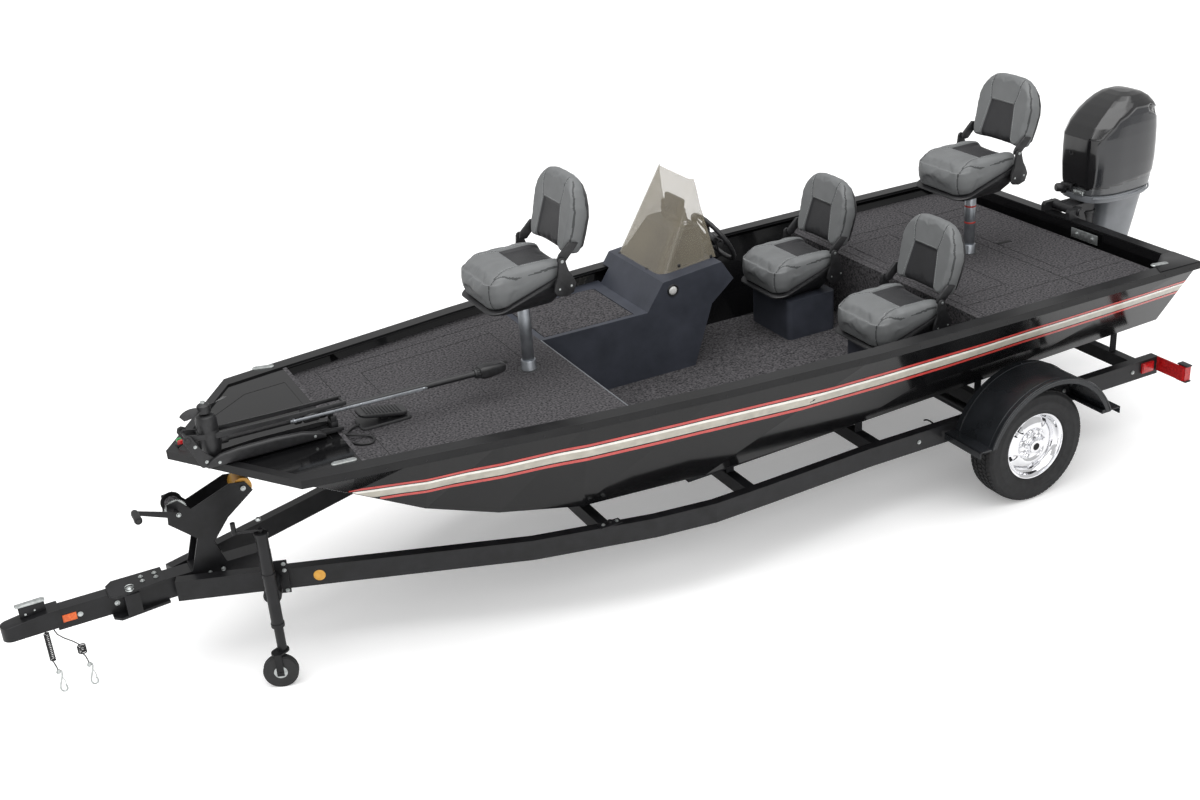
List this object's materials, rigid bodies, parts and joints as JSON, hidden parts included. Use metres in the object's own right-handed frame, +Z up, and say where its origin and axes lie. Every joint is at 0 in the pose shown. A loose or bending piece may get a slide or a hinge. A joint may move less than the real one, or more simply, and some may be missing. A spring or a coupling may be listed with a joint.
{
  "type": "bass boat on trailer",
  "caption": "Aluminium bass boat with console, folding seats, outboard and bow motor, standing on its single-axle swing-tongue trailer and jack.",
  "frame": {"origin": "on the road under the middle of the whole length and width", "axes": "+X forward from the stern to the coupler, +Y to port, +Z up"},
  "size_m": [6.488, 2.18, 1.9846],
  "materials": {
    "hull_black": "gloss",
    "carpet": "matt",
    "console_plastic": "satin",
    "smoke_screen": "gloss",
    "black_plastic": "satin",
    "silver_tube": "satin",
    "seat_vinyl": "satin",
    "cowl_black": "gloss",
    "leg_grey": "satin",
    "engine_block": "matt",
    "trailer_black": "satin",
    "bunk_carpet": "matt",
    "tyre": "matt",
    "wheel_chrome": "gloss",
    "jack_tyre": "matt",
    "roller_amber": "satin",
    "cable_black": "satin",
    "zinc_steel": "satin",
    "lamp_red": "gloss"
  },
  "bodies": {
    "boat_and_trailer": {"boat_hull": "hull_black", "gunwale": "hull_black", "bow_plate": "hull_black", "front_deck": "carpet", "cockpit_floor": "carpet", "aft_deck": "carpet", "console": "console_plastic", "windscreen": "smoke_screen", "instruments": "black_plastic", "throttle_control": "black_plastic", "pedestals": "silver_tube", "seat_boxes": "console_plastic", "cockpit_pans": "black_plastic", "cockpit_cushions": "seat_vinyl", "outboard_bracket": "cowl_black", "troll_mount": "black_plastic", "foot_pedal": "black_plastic", "frame_rails": "trailer_black", "crossmembers": "trailer_black", "bunks": "bunk_carpet", "axle": "trailer_black", "fenders": "trailer_black", "tail_lamps": "lamp_red", "jack_bracket": "trailer_black", "winch_stand": "trailer_black", "bow_roller": "roller_amber"},
    "aft_lid": {"aft_lid": "carpet"},
    "locker_lid": {"locker_lid": "carpet"},
    "console_lid": {"console_lid": "carpet"},
    "steering_wheel": {"steering_wheel": "black_plastic"},
    "front_seat": {"front_pan": "black_plastic", "front_cushion": "seat_vinyl"},
    "front_seat_back": {"front_back": "seat_vinyl"},
    "rear_seat": {"rear_pan": "black_plastic", "rear_cushion": "seat_vinyl"},
    "rear_seat_back": {"rear_back": "seat_vinyl"},
    "helm_seat_back": {"helm_back": "seat_vinyl"},
    "passenger_seat_back": {"passenger_back": "seat_vinyl"},
    "outboard_swivel": {"outboard_swivel": "cowl_black"},
    "outboard_head": {"outboard_cowl": "cowl_black", "powerhead": "engine_block", "outboard_leg": "leg_grey"},
    "propeller": {"propeller": "cowl_black"},
    "troll_motor": {"troll_motor": "black_plastic"},
    "troll_propeller": {"troll_propeller": "black_plastic"},
    "wheel_port": {"tyre_port": "tyre", "rim_port": "wheel_chrome"},
    "wheel_starboard": {"tyre_starboard": "tyre", "rim_starboard": "wheel_chrome"},
    "jack_leg": {"jack_leg": "trailer_black"},
    "jack_wheel": {"jack_wheel": "jack_tyre"},
    "winch_drum": {"winch_drum": "trailer_black"},
    "tongue": {"tongue": "trailer_black", "safety_cable_port": "cable_black", "safety_cable_starboard": "cable_black", "safety_hooks": "zinc_steel"}
  },
  "joints": [
    {"name": "wheel_port_spin", "type": "hinge", "parent": "boat_and_trailer", "child": "wheel_port", "pos_m": [-1.644, 0.905, 0.305], "axis": [0, 1, 0], "continuous": true},
    {"name": "wheel_starboard_spin", "type": "hinge", "parent": "boat_and_trailer", "child": "wheel_starboard", "pos_m": [-1.644, -0.905, 0.305], "axis": [0, 1, 0], "continuous": true},
    {"name": "jack_swing", "type": "hinge", "parent": "boat_and_trailer", "child": "jack_leg", "pos_m": [2.096, 0.24756, 0.45], "axis": [0.3547, 0.935, 0], "range_deg": [0, 90]},
    {"name": "jack_wheel_spin", "type": "hinge", "parent": "jack_leg", "child": "jack_wheel", "pos_m": [2.17939, 0.41379, 0.0765], "axis": [0.3547, 0.935, 0], "continuous": true},
    {"name": "tongue_swing", "type": "hinge", "parent": "boat_and_trailer", "child": "tongue", "pos_m": [2.696, 0.062, 0.43], "axis": [0, 0, 1], "range_deg": [0, 90]},
    {"name": "winch_crank", "type": "hinge", "parent": "boat_and_trailer", "child": "winch_drum", "pos_m": [2.43, 0, 0.803], "axis": [0, 1, 0], "continuous": true},
    {"name": "outboard_tilt", "type": "hinge", "parent": "boat_and_trailer", "child": "outboard_swivel", "pos_m": [-2.679, 0, 1.101], "axis": [0, -1, 0], "range_deg": [-60, 4]},
    {"name": "outboard_steer", "type": "hinge", "parent": "outboard_swivel", "child": "outboard_head", "pos_m": [-2.834, 0, 0.95], "axis": [0, 0, 1], "range_deg": [-30, 30]},
    {"name": "propeller_spin", "type": "hinge", "parent": "outboard_head", "child": "propeller", "pos_m": [-3.164, 0, 0.4], "axis": [1, 0, 0], "continuous": true},
    {"name": "helm_steer", "type": "hinge", "parent": "boat_and_trailer", "child": "steering_wheel", "pos_m": [-0.729, -0.6, 1.19], "axis": [-0.848, 0, 0.5299], "range_deg": [-540, 540]},
    {"name": "front_seat_swivel", "type": "hinge", "parent": "boat_and_trailer", "child": "front_seat", "pos_m": [0.676, 0, 1.35], "axis": [0, 0, 1], "continuous": true},
    {"name": "front_seat_fold", "type": "hinge", "parent": "front_seat", "child": "front_seat_back", "pos_m": [0.564, 0, 1.588], "axis": [0, 1, 0], "range_deg": [0, 104]},
    {"name": "rear_seat_swivel", "type": "hinge", "parent": "boat_and_trailer", "child": "rear_seat", "pos_m": [-1.994, 0, 1.34], "axis": [0, 0, 1], "continuous": true},
    {"name": "rear_seat_fold", "type": "hinge", "parent": "rear_seat", "child": "rear_seat_back", "pos_m": [-2.106, 0, 1.578], "axis": [0, 1, 0], "range_deg": [0, 104]},
    {"name": "helm_seat_fold", "type": "hinge", "parent": "boat_and_trailer", "child": "helm_seat_back", "pos_m": [-1.256, -0.45, 1.088], "axis": [0, 1, 0], "range_deg": [0, 104]},
    {"name": "passenger_seat_fold", "type": "hinge", "parent": "boat_and_trailer", "child": "passenger_seat_back", "pos_m": [-1.256, 0.45, 1.088], "axis": [0, 1, 0], "range_deg": [0, 104]},
    {"name": "aft_lid_open", "type": "hinge", "parent": "boat_and_trailer", "child": "aft_lid", "pos_m": [-2.544, 0, 0.99], "axis": [0, -1, 0], "range_deg": [0, 80]},
    {"name": "locker_lid_open", "type": "hinge", "parent": "boat_and_trailer", "child": "locker_lid", "pos_m": [-1.539, 0, 0.99], "axis": [0, 1, 0], "range_deg": [0, 80]},
    {"name": "console_lid_open", "type": "hinge", "parent": "boat_and_trailer", "child": "console_lid", "pos_m": [0.1885, -0.76, 0.992], "axis": [1, 0, 0], "range_deg": [0, 85]},
    {"name": "bow_motor_deploy", "type": "hinge", "parent": "boat_and_trailer", "child": "troll_motor", "pos_m": [2.356, 0.215, 1.215], "axis": [0, 1, 0], "range_deg": [0, 90]},
    {"name": "bow_motor_prop_spin", "type": "hinge", "parent": "troll_motor", "child": "troll_propeller", "pos_m": [2.256, 0.215, 1.318], "axis": [0, 0, 1], "continuous": true}
  ],
  "couplings": [
    {"joint": "helm_steer", "follows": "outboard_steer", "ratio": 18}
  ]
}
